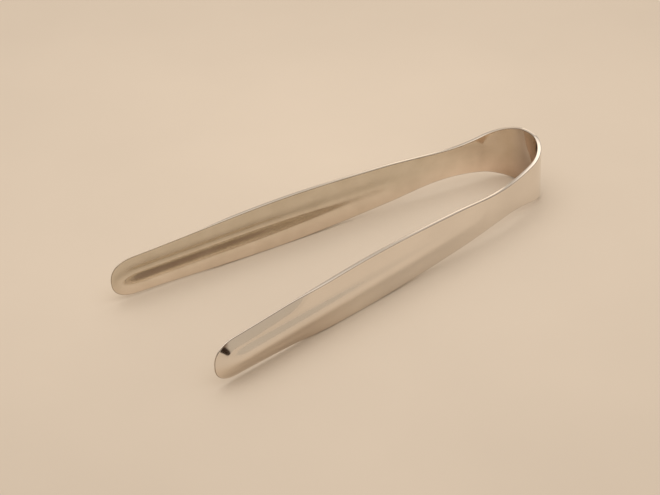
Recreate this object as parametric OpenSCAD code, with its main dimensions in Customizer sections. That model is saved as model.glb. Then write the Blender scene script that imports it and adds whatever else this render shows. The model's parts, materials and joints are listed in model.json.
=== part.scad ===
// Sugar tongs: one strip of spring steel bent into a bow, with two long fluted arms.
// Millimetres. +X points to the back of the bow, +Y to the left arm and +Z up.
// The tongs lie on the edges of the strip, as on a table, with the origin under their middle.
// The strip is divided at its two necks, where the real one flexes.

/* [Strip] */
// Length from the back of the bow to the tips
overall_l = 110; // [95:1:130]
// Thickness of the sheet
sheet_t = 1; // [0.8:0.1:1.4]

/* [Bow] */
// Radius of the bow on its inner face
bow_r = 9; // [7:0.5:12]
// Turn of each half of the bow, from its back to the shoulder, in degrees
bow_turn = 78.5; // [74:0.5:82]
// Width of the strip at the back of the bow
bow_w = 15; // [12:0.5:18]
// Depth of the full-width stretch at the back of the bow
bow_land = 0.8; // [0.4:0.1:2]

/* [Neck] */
// Distance from the back of the bow to the neck
neck_at = 18; // [15:0.5:24]
// Width of the strip at the neck, where it is narrowest
neck_w = 8; // [6:0.5:10]
// Length of the gentle bend that follows the neck
neck_bend_l = 10; // [6:0.5:16]
// Running clearance along the line where the neck flexes
flex_clearance = 0.1; // [0.06:0.01:0.2]

/* [Arm] */
// Angle of each straight arm to the middle line, in degrees
arm_splay = 6; // [4:0.5:9]
// Distance along the strip from the neck to the hip, where the widening slows
hip_at = 17.5; // [12:0.5:24]
// Width of the strip at the hip
hip_w = 10.6; // [8:0.2:12]
// Distance along the strip from the neck to the widest place of the blade
blade_at = 46; // [36:1:56]
// Width of the blade at its widest
blade_w = 12.9; // [11:0.1:14]
// Width of the blade where it ends in the rounded tip
tip_w = 10; // [8:0.2:12]
// Length of the rounding at the tip
tip_round = 6.5; // [5:0.5:9]

/* [Flute] */
// Distance along the strip from the neck to the start of the flute's shallow lead
flute_at = 8; // [5:1:14]
// Distance along the strip from the neck to the point where the flute starts to deepen on the inner face
flute_point = 23; // [18:1:30]
// Length over which it then deepens
flute_run = 12; // [8:1:20]
// Depth of the flute at its deepest
flute_depth = 1.1; // [0.4:0.05:1.5]
// Width of the flute
flute_w = 5.6; // [4:0.2:8]
// Length over which the ridge behind the flute rises on the outer face
ridge_run = 72; // [50:1:74]
// Height of the ridge at its highest
ridge_h = 1.1; // [0.4:0.05:1.5]
// Rise of the slight arch across the whole blade
arch_h = 0.3; // [0.1:0.05:0.5]
// Length of the rounded closing of the flute at the tip
flute_nose = 8; // [6:0.5:12]
// Plain rim between the end of the flute and the tip
flute_rim = 0.8; // [0.4:0.1:1.5]

/* [Bevel] */
// Distance along the strip from the neck to the start of the bevel on the outer rim of the blade
bevel_at = 58; // [50:1:66]
// Length over which the bevel grows
bevel_run = 14; // [8:1:20]
// Width of the bevel
bevel_w = 2.2; // [1:0.1:3]
// Fall of the bevel at the edge
bevel_drop = 0.7; // [0.2:0.05:0.75]

/* [Hidden] */
$fn = 96;
steel = [0.76, 0.72, 0.66];

// Flats along an edge of the waist
waist_steps = 17;
// Stations along an arm and points across it
neck_steps = 6;
flute_steps = 24;
tip_steps = 9;
across_steps = 24;
// Roundness of the tip's outline: 2 is an ellipse, more is blunter
tip_power = 2.4;
// Last angle of the tip's outline, short of a right angle so that the tip ends in a small flat
tip_last_angle = 86;
// Share of the flute's depth that the shallow lead reaches
flute_lead = 0.45;
// How soon the ridge comes to its full height: less is sooner
ridge_rise = 0.5;
// Share of the sheet's thickness by which the ridge is wider than the flute
ridge_extra = 0.8;
// Roundness of the bevel: 1 is flat
bevel_power = 1.4;
// Extra length of a cut beyond the metal that it cuts
cut_over = 1;
// Angle by which the two halves of the bow run past its back, so that they become one
bow_lap = 5;

// Bow: the middle of its bend is the strip's own origin, with the middle of the width at z = 0
bow_mid_r = bow_r + sheet_t / 2;
bow_back_x = bow_r + sheet_t;
bow_land_x = bow_back_x - bow_land;
shoulder_splay = 90 - bow_turn;
shoulder_start = bow_mid_r * [cos(bow_turn), sin(bow_turn)];

// Neck: the flexing line crosses the strip here
neck_x = bow_back_x - neck_at;
shoulder_l = (shoulder_start.x - neck_x) / cos(shoulder_splay);
neck = [neck_x, shoulder_start.y + shoulder_l * sin(shoulder_splay)];
knuckle_r = (sheet_t - flex_clearance) / 2;
knuckle_h = neck_w - 2 * flex_clearance;
seat_r = (sheet_t + flex_clearance) / 2;

// Waist: one arc on each edge runs from the neck to the full width of the bow
waist_rise = (bow_w - neck_w) / 2;
waist_run = bow_land_x - neck_x;
waist_r = (waist_run ^ 2 + waist_rise ^ 2) / (2 * waist_rise);
waist_span = 2 * (max(bow_back_x, neck.y) + sheet_t + cut_over);
waist_step = waist_run / waist_steps;

// Arm: d is the distance along the strip from the neck
bend_mean = (shoulder_splay + arm_splay) / 2;
bend_end = neck + neck_bend_l * [-cos(bend_mean), sin(bend_mean)];
tip_x = bow_back_x - overall_l;
straight_l = (bend_end.x - tip_x - sheet_t / 2 * sin(arm_splay)) / cos(arm_splay);
arm_l = neck_bend_l + straight_l;
round_at = arm_l - tip_round;
hip_slope = ((hip_w - neck_w) / hip_at + (blade_w - hip_w) / (blade_at - hip_at)) / 2;
ridge_w = flute_w + ridge_extra * sheet_t;

function mix(a, b, share) = a + (b - a) * share;
function clamp01(value) = max(0, min(1, value));

// Cubic from a to b with the slopes slope_a and slope_b, over a stretch of the given length
function curve(u, length, a, slope_a, b, slope_b) =
    a * (1 + 2 * u) * (1 - u) ^ 2 + slope_a * length * u * (1 - u) ^ 2
    + b * u ^ 2 * (3 - 2 * u) + slope_b * length * u ^ 2 * (u - 1);

function arm_splay_at(d) = mix(shoulder_splay, arm_splay, clamp01(d / neck_bend_l));

function arm_middle(d) =
    d < neck_bend_l
        ? let (mean = (shoulder_splay + arm_splay_at(d)) / 2) neck + d * [-cos(mean), sin(mean)]
        : bend_end + (d - neck_bend_l) * [-cos(arm_splay), sin(arm_splay)];

function arm_w(d) =
    d < hip_at ? curve(d / hip_at, hip_at, neck_w, 0, hip_w, hip_slope)
    : d < blade_at
        ? let (run = blade_at - hip_at) curve((d - hip_at) / run, run, hip_w, hip_slope, blade_w, 0)
        : let (run = arm_l - blade_at) curve((d - blade_at) / run, run, blade_w, 0, tip_w, 0);

// Half of the outline's width, with the rounded tip
function arm_half(d) =
    arm_w(d) / 2 * (1 - clamp01((d - round_at) / tip_round) ^ tip_power) ^ (1 / tip_power);

// Rim: 0 in the middle of the blade and 1 all along its outline, with the rounded tip
function rim_share(d, z) =
    let (across = abs(z) / (arm_w(d) / 2), along = clamp01((d - round_at) / tip_round))
    min(1, (across ^ tip_power + along ^ tip_power) ^ (1 / tip_power));

// Flute: a trough with a shallow lead, a point and a rounded nose, pressed outward, with a ridge behind it
function eased(value) = let (share = clamp01(value)) share ^ 2 * (3 - 2 * share);
function flute_opened(d) =
    let (lead = flute_lead * eased((d - flute_at) / (flute_point - flute_at)))
    mix(lead, 1, sin(90 * clamp01((d - flute_point) / flute_run)));
function ridge_risen(d) = sin(90 * clamp01((d - flute_at) / ridge_run)) ^ ridge_rise;
function nose_left(d) = 1 - clamp01((d - (arm_l - flute_rim - flute_nose)) / flute_nose) ^ 2;
function bell(z, width) = exp(-2 * (2 * z / width) ^ 2);
function flute_out(d, z) = flute_depth * flute_opened(d) * nose_left(d) * bell(z, flute_w);
function ridge_out(d, z) = ridge_h * ridge_risen(d) * nose_left(d) * bell(z, ridge_w);

// Arch: both faces of the blade bulge outward a little
function arch_out(d, z) = arch_h * ridge_risen(d) * (1 - rim_share(d, z) ^ 2);

// Bevel: the outer rim falls away towards the edge, and round the tip
function bevel_fall(d, z) =
    let (inset = (1 - rim_share(d, z)) * arm_w(d) / 2)
    bevel_drop * eased((d - bevel_at) / bevel_run) * max(0, 1 - inset / bevel_w) ^ bevel_power;

stations = concat(
    [for (i = [0 : neck_steps - 1]) flute_at * i / neck_steps],
    [for (i = [0 : flute_steps - 1]) mix(flute_at, round_at, i / flute_steps)],
    [for (i = [0 : tip_steps]) round_at + tip_round * sin(tip_last_angle * i / tip_steps) ^ (2 / tip_power)]
);

// Rest: the lower edges of the bow and of both blades touch the table together
rest_tilt = min([
    for (d = stations) atan((bow_w / 2 - arm_half(d)) / (bow_land_x - arm_middle(d).x))
]);
rest_lift = bow_w / 2 * cos(rest_tilt) - bow_land_x * sin(rest_tilt);
rest_middle_x = ((bow_back_x + tip_x) * cos(rest_tilt) + bow_w / 2 * sin(rest_tilt)) / 2;

// Sets a piece down on the table
module at_rest() {
    translate([-rest_middle_x, 0, rest_lift])
        rotate([0, -rest_tilt, 0])
            children();
}

// One station of an arm: up the inner face, then down the outer face
function face_out(d, z, side) =
    side < 0
        ? arch_out(d, z) + flute_out(d, z) - sheet_t / 2
        : arch_out(d, z) + ridge_out(d, z) - bevel_fall(d, z) + sheet_t / 2;

function ring_point(d, share, side) =
    let (z = share * arm_half(d), splay = arm_splay_at(d), middle = arm_middle(d))
    let (out = face_out(d, z, side))
    [middle.x + out * sin(splay), middle.y + out * cos(splay), z];

function ring(d) = concat(
    [for (j = [0 : across_steps]) ring_point(d, 2 * j / across_steps - 1, -1)],
    [for (j = [0 : across_steps]) ring_point(d, 1 - 2 * j / across_steps, 1)]
);

module arm_strip() {
    per_ring = 2 * (across_steps + 1);
    last = len(stations) - 1;
    sides = [
        for (i = [0 : last - 1], k = [0 : per_ring - 1])
            let (next = (k + 1) % per_ring, here = i * per_ring, there = here + per_ring)
            each [[here + k, there + k, there + next], [here + k, there + next, here + next]]
    ];
    ends = [
        for (j = [0 : across_steps - 1])
            let (far = per_ring - 1 - j, tip = last * per_ring)
            each [[j, j + 1, far - 1, far], [tip + far, tip + far - 1, tip + j + 1, tip + j]]
    ];
    polyhedron(points = [for (d = stations) each ring(d)], faces = concat(sides, ends), convexity = 6);
}

// An arm from the neck to the tip, with a round edge on the flexing line
module arm() {
    arm_strip();
    translate([neck.x, neck.y, -knuckle_h / 2])
        cylinder(r = knuckle_r, h = knuckle_h);
}

// Half of the strip's width between the neck and the back of the bow
function waist_half(x) = neck_w / 2 + waist_r - sqrt(waist_r ^ 2 - (x - neck_x) ^ 2);

// Cuts both edges of the strip in to the neck, in short flats along the arc: the first lies on the neck
module waist_cut() {
    edge = [
        for (i = [0 : waist_steps + 1])
            let (x = neck_x + (i - 0.5) * waist_step)
            [x, waist_half(x)]
    ];
    beyond = [[bow_land_x + waist_step, bow_w], [neck_x - waist_step, bow_w]];
    for (turn = [90, -90])
        rotate([turn, 0, 0])
            linear_extrude(waist_span, center = true)
                polygon(concat(edge, beyond));
}

// Hollows the end of a shoulder so that the arm's round edge turns in it
module flex_seat() {
    translate([neck.x, neck.y, 0])
        cylinder(r = seat_r, h = bow_w + 2 * cut_over, center = true);
}

// The left half of the bow: the bend and the straight shoulder, at the full width
module half_bow() {
    rotate([0, 0, bow_turn]) {
        rotate_extrude(angle = -(bow_turn + bow_lap))
            translate([bow_r, -bow_w / 2])
                square([sheet_t, bow_w]);
        translate([bow_r, 0, -bow_w / 2])
            cube([sheet_t, shoulder_l, bow_w]);
    }
}

module bow() {
    color(steel)
        at_rest()
            difference() {
                union() {
                    half_bow();
                    mirror([0, 1, 0]) half_bow();
                }
                waist_cut();
                flex_seat();
                mirror([0, 1, 0]) flex_seat();
            }
}

module left_arm() {
    color(steel) at_rest() arm();
}

module right_arm() {
    color(steel) at_rest() mirror([0, 1, 0]) arm();
}

bow();
left_arm();
right_arm();
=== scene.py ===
"""Sugar tongs of polished steel: one springy strip that lies on its edges on a pale table."""

import json
import math

import bmesh
import bpy
from mathutils import Matrix, Vector


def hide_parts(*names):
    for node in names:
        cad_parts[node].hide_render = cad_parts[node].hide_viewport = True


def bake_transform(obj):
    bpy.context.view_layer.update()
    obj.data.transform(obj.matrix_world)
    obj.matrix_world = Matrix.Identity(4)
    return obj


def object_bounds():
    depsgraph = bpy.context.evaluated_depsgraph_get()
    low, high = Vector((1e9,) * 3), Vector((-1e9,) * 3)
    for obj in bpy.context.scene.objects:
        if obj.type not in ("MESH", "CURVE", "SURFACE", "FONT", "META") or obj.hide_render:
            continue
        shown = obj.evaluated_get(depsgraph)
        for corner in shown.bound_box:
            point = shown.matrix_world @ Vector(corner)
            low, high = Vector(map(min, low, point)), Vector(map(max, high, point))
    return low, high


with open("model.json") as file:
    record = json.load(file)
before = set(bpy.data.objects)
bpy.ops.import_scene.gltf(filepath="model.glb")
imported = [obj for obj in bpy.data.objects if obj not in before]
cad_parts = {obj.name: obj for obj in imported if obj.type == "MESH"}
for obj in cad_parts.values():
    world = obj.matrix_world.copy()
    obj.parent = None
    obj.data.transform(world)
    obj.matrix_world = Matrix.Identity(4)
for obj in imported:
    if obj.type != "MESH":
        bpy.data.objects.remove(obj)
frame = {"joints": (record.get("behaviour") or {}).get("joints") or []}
cad_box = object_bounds()

MM = 0.001

# Sizes of the strip, as the solids have them
SHEET_T = 1.0 * MM
BOW_R = 9.0 * MM
BOW_TURN = math.radians(78.5)
BOW_W = 15.0 * MM
BOW_LAND = 0.8 * MM
NECK_AT = 18.0 * MM
NECK_W = 8.0 * MM
NECK_BEND_L = 10.0 * MM
ARM_SPLAY = math.radians(6.0)
ARM_L = 92.52 * MM
HIP_AT = 17.5 * MM
HIP_W = 10.6 * MM
BLADE_AT = 46.0 * MM
BLADE_W = 12.9 * MM
TIP_W = 10.0 * MM
TIP_ROUND = 6.5 * MM
TIP_POWER = 2.4
FLUTE_AT = 8.0 * MM
FLUTE_POINT = 23.0 * MM
FLUTE_LEAD = 0.45
FLUTE_DEPTH = 1.1 * MM
FLUTE_W = 5.6 * MM
FLUTE_NOSE = 8.0 * MM
FLUTE_RIM = 0.8 * MM
RIDGE_RUN = 72.0 * MM
RIDGE_RISE = 0.5
RIDGE_H = 1.1 * MM
RIDGE_W = 6.4 * MM
ARCH_H = 0.3 * MM
BEVEL_AT = 58.0 * MM
BEVEL_RUN = 14.0 * MM
BEVEL_W = 2.2 * MM
BEVEL_DROP = 0.7 * MM
BEVEL_POWER = 1.4

# The flute deepens over a longer run here than the 12 mm of the solids, so that its mirror image
# starts in a point
FLUTE_RUN = 34.0 * MM

# Polished rounding of the strip's edges
EDGE_ROUND = 0.14 * MM

# Fineness of the mesh
CROWN_STEPS = 70
SHOULDER_STEPS = 20
ARM_STEPS = 150
TIP_STEPS = 36
FACE_STEPS = 72
EDGE_STEPS = 4
# The first step at the back of the bow is this small, so that the two halves meet without a seam
CROWN_FIRST_STEP = 0.01 * MM
# Share of the tip's length that the middle line of the mesh runs into it
TIP_SPINE = 0.45
# Points of the tip's last line that lie closer than this become one
WELD = 0.0001 * MM

# Values that follow from the sizes
BOW_MID_R = BOW_R + SHEET_T / 2
BOW_BACK_X = BOW_R + SHEET_T
BOW_LAND_X = BOW_BACK_X - BOW_LAND
BEND_L = BOW_MID_R * BOW_TURN
NECK_X = BOW_BACK_X - NECK_AT
SHOULDER_L = (BOW_MID_R * math.cos(BOW_TURN) - NECK_X) / math.sin(BOW_TURN)
NECK_S = BEND_L + SHOULDER_L
NECK_Y = BOW_MID_R * math.sin(BOW_TURN) + SHOULDER_L * math.cos(BOW_TURN)
ARM_TURN = math.pi / 2 - ARM_SPLAY
WAIST_RISE = (BOW_W - NECK_W) / 2
WAIST_RUN = BOW_LAND_X - NECK_X
WAIST_R = (WAIST_RUN ** 2 + WAIST_RISE ** 2) / (2 * WAIST_RISE)
ROUND_AT = ARM_L - TIP_ROUND
HIP_SLOPE = ((HIP_W - NECK_W) / HIP_AT + (BLADE_W - HIP_W) / (BLADE_AT - HIP_AT)) / 2


def mix(a, b, share):
    return a + (b - a) * share


def clamp01(value):
    return max(0.0, min(1.0, value))


def smooth(value):
    """Eases from 0 to 1."""
    share = clamp01(value)
    return share * share * (3 - 2 * share)


def curve(u, length, a, slope_a, b, slope_b):
    """Cubic from a to b with the given slopes, over a stretch of the given length."""
    start = a * (1 + 2 * u) * (1 - u) ** 2 + slope_a * length * u * (1 - u) ** 2
    end = b * u * u * (3 - 2 * u) + slope_b * length * u * u * (u - 1)
    return start + end


# The strip: s is the distance along its middle line from the back of the bow, and the same place on an
# arm is at d, counted from the neck. The outward normal turns from +X at the back towards +Y.

def turn_at(s):
    if s < BEND_L:
        return s / BOW_MID_R
    return mix(BOW_TURN, ARM_TURN, clamp01((s - NECK_S) / NECK_BEND_L))


def middle_at(s):
    """The middle line in plan, in the strip's own frame: the centre of the bend is its origin."""
    if s < BEND_L:
        return Vector((BOW_MID_R * math.cos(s / BOW_MID_R), BOW_MID_R * math.sin(s / BOW_MID_R)))
    along = min(s, NECK_S) - BEND_L
    point = Vector((BOW_MID_R * math.cos(BOW_TURN), BOW_MID_R * math.sin(BOW_TURN)))
    point += along * Vector((-math.sin(BOW_TURN), math.cos(BOW_TURN)))
    if s <= NECK_S:
        return point
    bent = min(s - NECK_S, NECK_BEND_L)
    mean = (BOW_TURN + turn_at(NECK_S + bent)) / 2
    point += bent * Vector((-math.sin(mean), math.cos(mean)))
    straight = s - NECK_S - bent
    return point + straight * Vector((-math.sin(ARM_TURN), math.cos(ARM_TURN)))


def arm_width(d):
    if d < HIP_AT:
        return curve(d / HIP_AT, HIP_AT, NECK_W, 0, HIP_W, HIP_SLOPE)
    if d < BLADE_AT:
        run = BLADE_AT - HIP_AT
        return curve((d - HIP_AT) / run, run, HIP_W, HIP_SLOPE, BLADE_W, 0)
    run = ARM_L - BLADE_AT
    return curve((d - BLADE_AT) / run, run, BLADE_W, 0, TIP_W, 0)


def half_width(s):
    """Half of the strip's width, without the rounded tip."""
    if s > NECK_S:
        return arm_width(s - NECK_S) / 2
    x = middle_at(s).x
    if x > BOW_LAND_X:
        return BOW_W / 2
    return NECK_W / 2 + WAIST_R - math.sqrt(WAIST_R ** 2 - (x - NECK_X) ** 2)


def flute_opened(d):
    """Share of its full depth that the flute has reached at d: a shallow lead, then the point."""
    lead = smooth((d - FLUTE_AT) / (FLUTE_POINT - FLUTE_AT))
    point = smooth((d - FLUTE_POINT) / FLUTE_RUN)
    return mix(FLUTE_LEAD * lead, 1.0, point)


def ridge_risen(d):
    """Share of its full height that the ridge has reached at d."""
    return math.sin(math.pi / 2 * clamp01((d - FLUTE_AT) / RIDGE_RUN)) ** RIDGE_RISE


def bell(z, width):
    """Bell curve across the strip: 1 in the middle and about a seventh at half the given width."""
    return math.exp(-2 * (2 * z / width) ** 2)


def pressed_out(s, z, face):
    """How far the pressing moves one face of an arm outwards: arch and flute, or arch, ridge and bevel."""
    d = s - NECK_S
    if d <= FLUTE_AT:
        return 0.0
    half = arm_width(d) / 2
    along = clamp01((d - ROUND_AT) / TIP_ROUND)
    rim = min(1.0, (abs(z / half) ** TIP_POWER + along ** TIP_POWER) ** (1 / TIP_POWER))
    nose = 1 - clamp01((d - (ARM_L - FLUTE_RIM - FLUTE_NOSE)) / FLUTE_NOSE) ** 2
    risen = ridge_risen(d)
    arch = ARCH_H * risen * (1 - rim ** 2)
    if face < 0:
        return arch + FLUTE_DEPTH * flute_opened(d) * nose * bell(z, FLUTE_W)
    inset = (1 - rim) * half
    fall = smooth((d - BEVEL_AT) / BEVEL_RUN) * max(0.0, 1 - inset / BEVEL_W) ** BEVEL_POWER
    return arch + RIDGE_H * risen * nose * bell(z, RIDGE_W) - BEVEL_DROP * fall


# The mesh: each station is a line across the strip, from a place on the middle line out to the edge.
# It holds the distance of its start along the strip, its lean along the strip and its rise to the edge.

def plain_station(s):
    return s, 0.0, half_width(s)


def tip_station(share):
    """A line from the middle of the tip to its rounded outline."""
    angle = math.pi / 2 * share
    edge_s = NECK_S + ROUND_AT + TIP_ROUND * math.sin(angle) ** (2 / TIP_POWER)
    start_s = NECK_S + ROUND_AT + TIP_ROUND * TIP_SPINE * share
    rise = arm_width(edge_s - NECK_S) / 2 * max(0.0, math.cos(angle)) ** (2 / TIP_POWER)
    return start_s, edge_s - start_s, rise


def stations():
    """Lines across the strip from the back of the bow to the tip."""
    places = [0.0, CROWN_FIRST_STEP]
    places += [BEND_L * i / CROWN_STEPS for i in range(1, CROWN_STEPS)]
    places += [mix(BEND_L, NECK_S, i / SHOULDER_STEPS) for i in range(SHOULDER_STEPS)]
    places += [NECK_S + ROUND_AT * i / ARM_STEPS for i in range(ARM_STEPS)]
    plain = [plain_station(s) for s in places]
    return plain + [tip_station(i / TIP_STEPS) for i in range(TIP_STEPS + 1)]


def section():
    """The outline of the strip's cut end, as a ring of spots.

    A spot holds its place across the flat face from -1 to 1, its bulge past the flat, which is 1 or -1
    where the rounded edge is outermost, its face, -1 for the inner one, and the share of the
    rounding's height that is left there.
    """
    flat = [2 * j / FACE_STEPS - 1 for j in range(FACE_STEPS + 1)]
    arc = [math.pi / 2 * j / EDGE_STEPS for j in range(1, EDGE_STEPS + 1)]
    inner = [(across, 0.0, -1, 1.0) for across in flat]
    upper = [(1.0, math.sin(a), -1, math.cos(a)) for a in arc]
    upper += [(1.0, math.sin(a), 1, math.cos(a)) for a in reversed(arc)]
    half = inner + upper
    return half + [(-across, -bulge, -face, height) for across, bulge, face, height in half]


def strip_point(station, spot):
    """A point of the strip in its own frame, with its distance along and across the strip."""
    start_s, lean, rise = station
    across, bulge, face, height = spot
    length = math.hypot(lean, rise)
    rounding = min(EDGE_ROUND, length)
    reach = across * (length - rounding) + bulge * rounding
    s = start_s + abs(reach) * lean / length
    z = reach * rise / length
    turn = turn_at(s)
    out = pressed_out(s, z, face) + face * (SHEET_T / 2 - EDGE_ROUND + EDGE_ROUND * height)
    middle = middle_at(s)
    point = Vector((middle.x + out * math.cos(turn), middle.y + out * math.sin(turn), z))
    return point, s, z


def joint_named(name):
    return next(j for j in frame["joints"] if j["name"] == name)


def rest_matrix():
    """Sets the strip down where the solids lie: the left neck comes to the left flexing line."""
    joint = joint_named("left_flex")
    axis = Vector(joint["axis"])
    tilt = Matrix.Rotation(math.atan2(axis.x, axis.z), 4, "Y")
    neck = Vector((NECK_X, NECK_Y, 0))
    return Matrix.Translation(Vector(joint["pos_m"])) @ tilt @ Matrix.Translation(-neck)


def strip_half(name, side):
    """One half of the strip, from the back of the bow to a tip; side is 1 for left and -1 for right."""
    spots = section()
    place = rest_matrix() @ Matrix.Diagonal((1, side, 1, 1))
    bm = bmesh.new()
    strip_place = bm.verts.layers.float_vector.new("strip_place")
    edge_rounded = bm.verts.layers.float.new("edge_rounded")
    rings = []
    for station in stations():
        ring = []
        for spot in spots:
            point, s, z = strip_point(station, spot)
            _, bulge, face, _ = spot
            vert = bm.verts.new(place @ point)
            vert[strip_place] = Vector((s / MM, z / MM, face))
            vert[edge_rounded] = abs(bulge)
            ring.append(vert)
        rings.append(ring)
    count = len(spots)
    for ring, after in zip(rings, rings[1:]):
        for k in range(count):
            bm.faces.new((ring[k], after[k], after[(k + 1) % count], ring[(k + 1) % count]))
    cap = bm.faces.new(rings[0])
    for edge in cap.edges:
        edge.smooth = False
    bmesh.ops.remove_doubles(bm, verts=rings[-1], dist=WELD)
    bmesh.ops.recalc_face_normals(bm, faces=bm.faces)
    mesh = bpy.data.meshes.new(name)
    bm.to_mesh(mesh)
    bm.free()
    for polygon in mesh.polygons:
        polygon.use_smooth = True
    piece = bpy.data.objects.new(name, mesh)
    bpy.context.scene.collection.objects.link(piece)
    return piece


# Shader nodes

WHITE = (1.0, 1.0, 1.0)


def new_material(name):
    material = bpy.data.materials.new(name)
    material.use_nodes = True
    tree = material.node_tree
    return material, tree, tree.nodes["Principled BSDF"]


def add(tree, kind, **sockets):
    """A node of the given kind with its input sockets set by name."""
    node = tree.nodes.new(kind)
    for name, value in sockets.items():
        node.inputs[name.replace("_", " ")].default_value = value
    return node


def attribute(tree, name):
    node = tree.nodes.new("ShaderNodeAttribute")
    node.attribute_name = name
    return node


def noise(tree, vector, scale, detail):
    node = add(tree, "ShaderNodeTexNoise", Scale=scale, Detail=detail)
    tree.links.new(vector, node.inputs["Vector"])
    return node.outputs["Fac"]


def stretched_noise(tree, vector, scale, detail):
    """Noise with its own scale along each axis."""
    mapping = add(tree, "ShaderNodeMapping", Scale=scale)
    tree.links.new(vector, mapping.inputs["Vector"])
    return noise(tree, mapping.outputs["Vector"], 1.0, detail)


def remap(tree, value, low, high, to_low, to_high):
    node = add(tree, "ShaderNodeMapRange", From_Min=low, From_Max=high, To_Min=to_low, To_Max=to_high)
    tree.links.new(value, node.inputs["Value"])
    return node.outputs["Result"]


def ramp(tree, value, *stops):
    """Colours that follow a value from 0 to 1; each stop is a value with its colour."""
    node = tree.nodes.new("ShaderNodeValToRGB")
    elements = node.color_ramp.elements
    while len(elements) < len(stops):
        elements.new(0.5)
    for element, (position, colour) in zip(elements, stops):
        element.position = position
        element.color = (*colour, 1)
    tree.links.new(value, node.inputs["Fac"])
    return node.outputs["Color"]


def tones(tree, value, *stops):
    """Colours that follow a value from the first stop to the last; each stop is a value with its colour."""
    low = stops[0][0]
    high = stops[-1][0]
    shares = [((place - low) / (high - low), colour) for place, colour in stops]
    return ramp(tree, remap(tree, value, low, high, 0.0, 1.0), *shares)


def dot(tree, vector, direction):
    node = tree.nodes.new("ShaderNodeVectorMath")
    node.operation = "DOT_PRODUCT"
    node.inputs[1].default_value = Vector(direction).normalized()
    tree.links.new(vector, node.inputs[0])
    return node.outputs["Value"]


def product(tree, first, *others):
    result = first
    for other in others:
        node = tree.nodes.new("ShaderNodeVectorMath")
        node.operation = "MULTIPLY"
        tree.links.new(result, node.inputs[0])
        tree.links.new(other, node.inputs[1])
        result = node.outputs["Vector"]
    return result


def tinted(tree, share, colour, rest=None):
    """The colour where the share is 1, and where it is 0 the rest, which is white unless given."""
    node = tree.nodes.new("ShaderNodeMix")
    node.data_type = "RGBA"
    node.inputs["A"].default_value = (*WHITE, 1)
    if rest is not None:
        tree.links.new(rest, node.inputs["A"])
    tree.links.new(colour, node.inputs["B"])
    tree.links.new(share, node.inputs["Factor"])
    return node.outputs["Result"]


# Steel: places along and across the strip are in mm, as the strip_place attribute holds them

STEEL_CLEAN = (0.79, 0.74, 0.68)
STEEL_HAZY = (0.85, 0.80, 0.74)
CLOUD_TONE = (0.93, 0.92, 0.90)
# Painted shade on the rounded edges, which draws a dark line along the strip's outline
EDGE_PAINTED_SHADE = (0.42, 0.38, 0.36)
# Tones along the inner face, from the back of the bow to the arm: painted shade darkens the back of the
# bow, and the arm is a little darker than the shoulders
INNER_SHADE_AND_TONES = (
    (1.0, (0.60, 0.54, 0.50)),
    (6.0, (0.74, 0.66, 0.57)),
    (13.0, (1.03, 0.98, 0.90)),
    (20.0, (1.03, 0.99, 0.92)),
    (32.0, (0.87, 0.85, 0.785)),
)
# Painted light across the inner face, from its lower part to the middle: the lower part is painted paler
INNER_LOWER_PAINTED_LIGHT = ((-4.5, (1.22, 1.19, 1.22)), (0.5, WHITE))
# Tones along the lower half of the outer face
OUTER_LOWER_TONES = (
    (60.0, WHITE),
    (74.0, (1.05, 1.04, 1.02)),
    (90.0, (0.96, 0.91, 0.86)),
    (110.0, (0.99, 0.95, 0.90)),
)
# Places across the outer face where the tones of its lower half start and are full
OUTER_LOWER_FROM = 0.5
OUTER_LOWER_FULL = -1.5
# Scales of the patterns along the strip, across it and from face to face
HAZE_SCALE = (0.06, 0.12, 1.0)
CLOUD_SCALE = (0.22, 0.22, 1.0)
LINES_SCALE = (0.05, 4.0, 1.0)
# Height of the fine polishing lines
LINES_H = 0.0015 * MM
LINES_STRENGTH = 0.25
# Roughness of the clean and of the hazy polish
CLEAN_ROUGH = 0.07
HAZY_ROUGH = 0.13
# Extra roughness of the arms' inner faces, and the places along the strip where it starts and is full
ARM_INNER_ROUGH = 0.085
ARM_INNER_FROM = 30.0
ARM_INNER_FULL = 50.0


def inner_tone_shade_and_light(tree, vector, along, across):
    """Inner faces: darker at the back of the bow with painted shade, faintly clouded, and paler in their
    lower part with painted light.
    """
    cloud = stretched_noise(tree, vector, CLOUD_SCALE, detail=3.0)
    clouded = ramp(tree, cloud, (0.35, CLOUD_TONE), (0.65, WHITE))
    # Painted light on the lower part of the inner faces
    lower = tones(tree, across, *INNER_LOWER_PAINTED_LIGHT)
    return product(tree, tones(tree, along, *INNER_SHADE_AND_TONES), clouded, lower)


def outer_tone(tree, along, across):
    """Outer faces: the lower half is a little yellower towards the tip."""
    below = remap(tree, across, OUTER_LOWER_FULL, OUTER_LOWER_FROM, 1.0, 0.0)
    return tinted(tree, below, tones(tree, along, *OUTER_LOWER_TONES))


def painted_edge_shade(tree):
    """The rounded edges are painted darker than the faces and the cut between them: a painted shade line
    along the strip's outline.
    """
    rounded = attribute(tree, "edge_rounded").outputs["Fac"]
    return ramp(tree, rounded, (0.0, WHITE), (0.15, EDGE_PAINTED_SHADE), (0.80, EDGE_PAINTED_SHADE), (0.97, WHITE))


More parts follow.
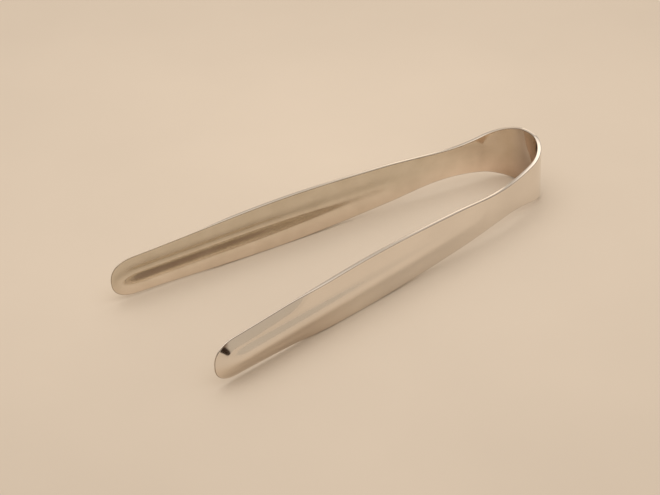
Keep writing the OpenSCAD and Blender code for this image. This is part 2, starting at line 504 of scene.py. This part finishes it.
def polished_steel():
    material, tree, shader = new_material("polished_steel")
    vector = attribute(tree, "strip_place").outputs["Vector"]
    parts = tree.nodes.new("ShaderNodeSeparateXYZ")
    tree.links.new(vector, parts.inputs["Vector"])
    along = parts.outputs["X"]
    across = parts.outputs["Y"]
    # 1 on the inner faces, where the attribute is -1, and 0 elsewhere
    inner = remap(tree, parts.outputs["Z"], -1.0, -0.9, 1.0, 0.0)

    haze = stretched_noise(tree, vector, HAZE_SCALE, detail=4.0)
    steel_colour = ramp(tree, haze, (0.30, STEEL_CLEAN), (0.70, STEEL_HAZY))
    # The inner faces carry painted shade at the back of the bow and painted light on their lower part, and
    # the rounded edges carry painted shade
    tone = tinted(tree, inner, inner_tone_shade_and_light(tree, vector, along, across), outer_tone(tree, along, across))
    colour = product(tree, steel_colour, tone, painted_edge_shade(tree))
    tree.links.new(colour, shader.inputs["Base Color"])
    shader.inputs["Metallic"].default_value = 1.0

    rough = tree.nodes.new("ShaderNodeMath")
    rough.operation = "MULTIPLY_ADD"
    tree.links.new(inner, rough.inputs[0])
    extra = remap(tree, along, ARM_INNER_FROM, ARM_INNER_FULL, 0.0, ARM_INNER_ROUGH)
    tree.links.new(extra, rough.inputs[1])
    tree.links.new(remap(tree, haze, 0.35, 0.70, CLEAN_ROUGH, HAZY_ROUGH), rough.inputs[2])
    tree.links.new(rough.outputs["Value"], shader.inputs["Roughness"])

    bump = add(tree, "ShaderNodeBump", Strength=LINES_STRENGTH, Distance=LINES_H)
    lines = stretched_noise(tree, vector, LINES_SCALE, detail=3.0)
    tree.links.new(lines, bump.inputs["Height"])
    tree.links.new(bump.outputs["Normal"], shader.inputs["Normal"])
    return material


# Table

FLOOR_SIZE = 3.0
PAPER_DARK = (0.750, 0.675, 0.585)
PAPER_PALE = (0.780, 0.702, 0.609)
SPECK_TONE = (0.80, 0.78, 0.75)
MOTTLE_SCALE = 14.0
SPECK_SCALE = 55.0
PAPER_ROUGH = 0.9
PAPER_SHINE = 0.15
# The paper is painted palest round this place behind the tongs, a painted pool of light that dims away from
# it
PAINTED_LIGHT_CENTRE = Vector((25.0, 40.0, 0.0)) * MM


def grey(level):
    return (level, level, level)


def table_paper():
    material, tree, shader = new_material("table_paper")
    place = tree.nodes.new("ShaderNodeTexCoord").outputs["Object"]
    mottle = noise(tree, place, MOTTLE_SCALE, detail=5.0)
    paper = ramp(tree, mottle, (0.35, PAPER_DARK), (0.65, PAPER_PALE))
    cells = add(tree, "ShaderNodeTexVoronoi", Scale=SPECK_SCALE)
    tree.links.new(place, cells.inputs["Vector"])
    specks = ramp(tree, cells.outputs["Distance"], (0.008, SPECK_TONE), (0.016, WHITE))
    distance = tree.nodes.new("ShaderNodeVectorMath")
    distance.operation = "DISTANCE"
    distance.inputs[1].default_value = PAINTED_LIGHT_CENTRE
    tree.links.new(place, distance.inputs[0])
    # Painted light: the paper's brightness falls off with the distance from the painted pool's centre
    painted_light_pool = ramp(
        tree,
        distance.outputs["Value"],
        (0.0, grey(1.09)),
        (65.0 * MM, grey(1.02)),
        (100.0 * MM, grey(0.99)),
        (150.0 * MM, grey(0.94)),
    )
    tree.links.new(product(tree, paper, specks, painted_light_pool), shader.inputs["Base Color"])
    shader.inputs["Roughness"].default_value = PAPER_ROUGH
    shader.inputs["Specular IOR Level"].default_value = PAPER_SHINE
    return material


def make_floor():
    mesh = bpy.data.meshes.new("table")
    half = FLOOR_SIZE / 2
    corners = [(-half, -half, 0), (half, -half, 0), (half, half, 0), (-half, half, 0)]
    mesh.from_pydata(corners, [], [(0, 1, 2, 3)])
    floor = bpy.data.objects.new("table", mesh)
    floor.location.z = cad_box[0].z
    bpy.context.scene.collection.objects.link(floor)
    mesh.materials.append(table_paper())


# Camera, fitted to the photograph's edges in its frame of 660 x 495

IMAGE_W = 660
SENSOR_W = 36.0
CAMERA_FOCAL_PX = 2107.7
CAMERA_DISTANCE = 495.6 * MM
CAMERA_TARGET = Vector((-7.15, 0.71, 6.0)) * MM
CAMERA_AZIMUTH = math.radians(-35.97)
CAMERA_ELEVATION = math.radians(33.16)
CAMERA_ROLL = math.radians(-1.86)
CAMERA_NEAR = 10.0 * MM


def make_camera():
    data = bpy.data.cameras.new("camera")
    data.sensor_width = SENSOR_W
    data.lens = SENSOR_W * CAMERA_FOCAL_PX / IMAGE_W
    data.clip_start = CAMERA_NEAR
    camera = bpy.data.objects.new("camera", data)
    bpy.context.scene.collection.objects.link(camera)
    flat = math.cos(CAMERA_ELEVATION)
    back_x = math.sin(CAMERA_AZIMUTH) * flat
    back_y = -math.cos(CAMERA_AZIMUTH) * flat
    back = Vector((back_x, back_y, math.sin(CAMERA_ELEVATION)))
    camera.location = CAMERA_TARGET + back * CAMERA_DISTANCE
    level = (-back).to_track_quat("-Z", "Y").to_matrix().to_4x4()
    camera.rotation_euler = (level @ Matrix.Rotation(CAMERA_ROLL, 4, "Z")).to_euler()
    bpy.context.scene.camera = camera


# Light: a soft warm room, brightest overhead and a little brighter behind the tongs than in front

ROOM_STRENGTH = 0.885
ROOM_BACK = (-0.1, 1.0, 0.0)
FRONT_SHARE = 0.83
BACK_SHARE = 1.17
# Colours of the room by the sine of the height above the table
ROOM_TONES = (
    (0.0, (0.77, 0.64, 0.50)),
    (0.30, (0.75, 0.63, 0.50)),
    (0.52, (0.57, 0.495, 0.415)),
    (0.66, (0.66, 0.585, 0.51)),
    (0.86, (1.60, 1.44, 1.27)),
)
# Things that the steel mirrors: direction, cosines of the angles to the outer and inner limit, and tone
DARK_THING = ((0.20, -0.98, 0.07), 0.9885, 0.9935, (0.06, 0.04, 0.03))
BROWN_THING = ((0.24, -0.93, 0.29), 0.985, 0.996, (0.37, 0.27, 0.21))
BRIGHT_PANE = ((0.60, 0.67, 0.44), 0.9955, 0.9985, (2.3, 2.3, 2.3))


def thing_in_room(tree, direction, towards, outer, inner, tone):
    return ramp(tree, dot(tree, direction, towards), (outer, WHITE), (inner, tone))


def make_light():
    world = bpy.data.worlds.new("room")
    world.use_nodes = True
    tree = world.node_tree
    background = tree.nodes["Background"]
    direction = tree.nodes.new("ShaderNodeTexCoord").outputs["Generated"]
    walls = ramp(tree, dot(tree, direction, (0, 0, 1)), *ROOM_TONES)
    depth = remap(tree, dot(tree, direction, ROOM_BACK), -1.0, 1.0, FRONT_SHARE, BACK_SHARE)
    things = [thing_in_room(tree, direction, *thing) for thing in (DARK_THING, BROWN_THING, BRIGHT_PANE)]
    tree.links.new(product(tree, walls, depth, *things), background.inputs["Color"])
    background.inputs["Strength"].default_value = ROOM_STRENGTH
    bpy.context.scene.world = world


make_camera()
make_floor()
make_light()
bpy.context.scene.view_settings.view_transform = "Standard"

steel = polished_steel()
for name, side, arm, joint_name in (
    ("left_strip", 1, "left_arm", "left_flex"),
    ("right_strip", -1, "right_arm", "right_flex"),
):
    piece = strip_half(name, side)
    piece.data.materials.append(steel)
    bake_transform(piece)
    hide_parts("bow", arm)
